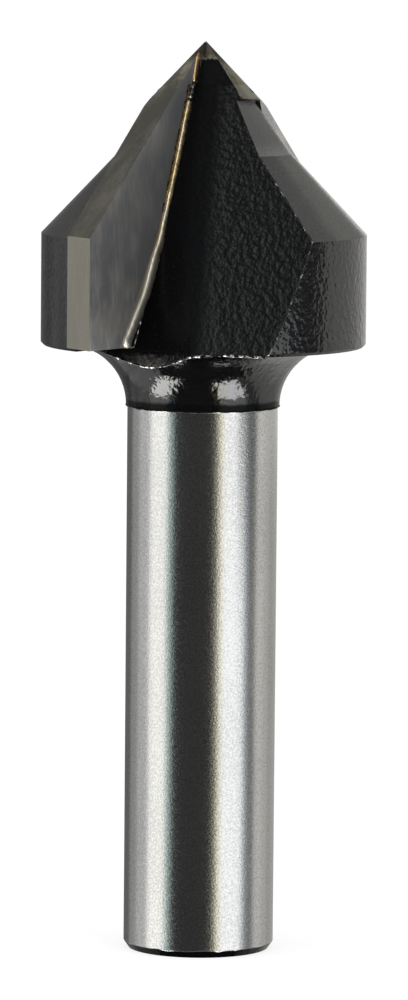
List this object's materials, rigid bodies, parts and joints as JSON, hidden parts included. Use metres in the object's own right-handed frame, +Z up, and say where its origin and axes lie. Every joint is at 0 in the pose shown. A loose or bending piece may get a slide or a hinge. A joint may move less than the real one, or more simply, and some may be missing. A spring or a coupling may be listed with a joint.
{
  "type": "v groove router bit",
  "caption": "Straight-shank router bit with a black coated head and brazed carbide plates ground to a point, for cutting right-angled V grooves and bevels in wood.",
  "frame": {"origin": "centre of the flat face at the free end of the shank", "axes": "+Z up the axis from the shank's end to the point; both rake faces lie in the XZ plane, the front plate on the -X side facing -Y, the rear plate on the +X side facing +Y"},
  "size_m": [0.0318, 0.0274, 0.0768],
  "materials": {
    "steel": "centreless ground shank, fine satin lines round it",
    "coating": "glossy black coating with a slight orange-peel texture",
    "carbide": "tungsten carbide, diamond ground satin",
    "braze": "silver solder, pale gold, uneven"
  },
  "bodies": {
    "root": {"body": "steel", "carbide_front": "carbide", "carbide_rear": "carbide", "braze_front": "braze", "braze_rear": "braze"}
  },
  "joints": []
}
